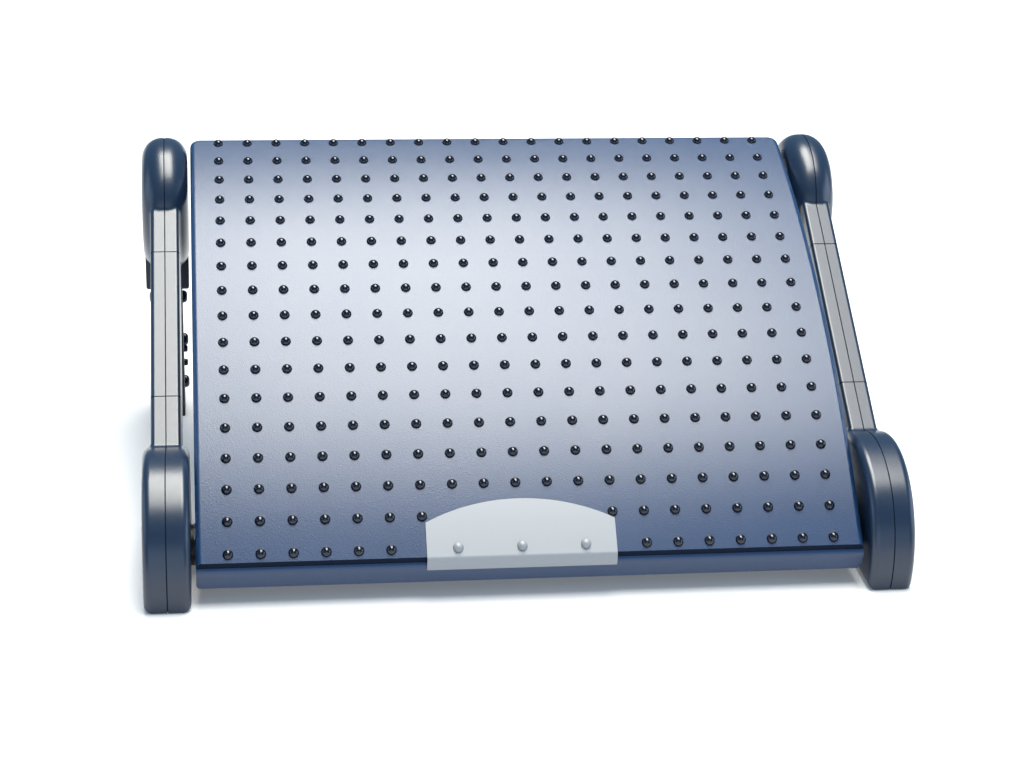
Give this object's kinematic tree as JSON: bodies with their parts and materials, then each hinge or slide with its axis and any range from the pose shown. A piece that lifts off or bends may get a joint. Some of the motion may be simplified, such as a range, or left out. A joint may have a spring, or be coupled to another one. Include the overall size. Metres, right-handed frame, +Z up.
{
  "type": "tilting footrest",
  "caption": "Under-desk footrest: a curved tread with raised grip domes, hinged low between side frames on round front feet, with rear legs that slide to set the height.",
  "frame": {"origin": "On the floor, under the middle of the object's bounding box.", "axes": "+X along the hinge to the right as seen by the person who sits, +Y to the rear, away from that person's heels, +Z up."},
  "size_m": [0.4854, 0.3426, 0.2043],
  "materials": {
    "tread_plastic": "fine grained",
    "frame_plastic": "satin",
    "collar_plastic": "satin",
    "leg_plastic": "satin",
    "stud_plastic": "gloss",
    "dome_rubber": "smooth",
    "floor_rubber": "matte",
    "badge_metal": "satin",
    "bearing_plastic": "smooth",
    "steel": "zinc plated"
  },
  "bodies": {
    "frame": {"tie_rod": "steel", "left_foot_inner": "frame_plastic", "left_foot_outer": "frame_plastic", "left_bar_inner": "frame_plastic", "left_bar_outer": "frame_plastic", "left_rear_housing_inner": "frame_plastic", "left_rear_housing_outer": "frame_plastic", "left_frame_spar": "steel", "left_shell_screws": "steel", "left_foot_pad": "floor_rubber", "left_leg_collar": "collar_plastic", "left_friction_washer": "bearing_plastic", "left_spring_washer": "steel", "left_rod_nut": "steel", "right_foot_inner": "frame_plastic", "right_foot_outer": "frame_plastic", "right_bar_inner": "frame_plastic", "right_bar_outer": "frame_plastic", "right_rear_housing_inner": "frame_plastic", "right_rear_housing_outer": "frame_plastic", "right_frame_spar": "steel", "right_shell_screws": "steel", "right_foot_pad": "floor_rubber", "right_leg_collar": "collar_plastic", "right_friction_washer": "bearing_plastic", "right_spring_washer": "steel", "right_rod_nut": "steel"},
    "platform": {"platform": "tread_plastic", "platform_domes": "dome_rubber", "badge_plate": "badge_metal", "left_hub_bush": "bearing_plastic", "right_hub_bush": "bearing_plastic"},
    "left_leg": {"left_leg": "leg_plastic", "left_leg_studs": "stud_plastic", "left_leg_pins": "stud_plastic", "left_leg_tip": "floor_rubber"},
    "right_leg": {"right_leg": "leg_plastic", "right_leg_studs": "stud_plastic", "right_leg_pins": "stud_plastic", "right_leg_tip": "floor_rubber"}
  },
  "joints": [
    {"name": "platform_tilt", "type": "hinge", "parent": "frame", "child": "platform", "pos_m": [0, -0.1094, 0.015], "axis": [1, 0, 0], "range_deg": [-22, 0]},
    {"name": "left_leg_slide", "type": "slide", "parent": "frame", "child": "left_leg", "axis": [0, 0, 1], "range_m": [0, 0.0662]},
    {"name": "right_leg_slide", "type": "slide", "parent": "frame", "child": "right_leg", "axis": [0, 0, 1], "range_m": [0, 0.0662]}
  ]
}
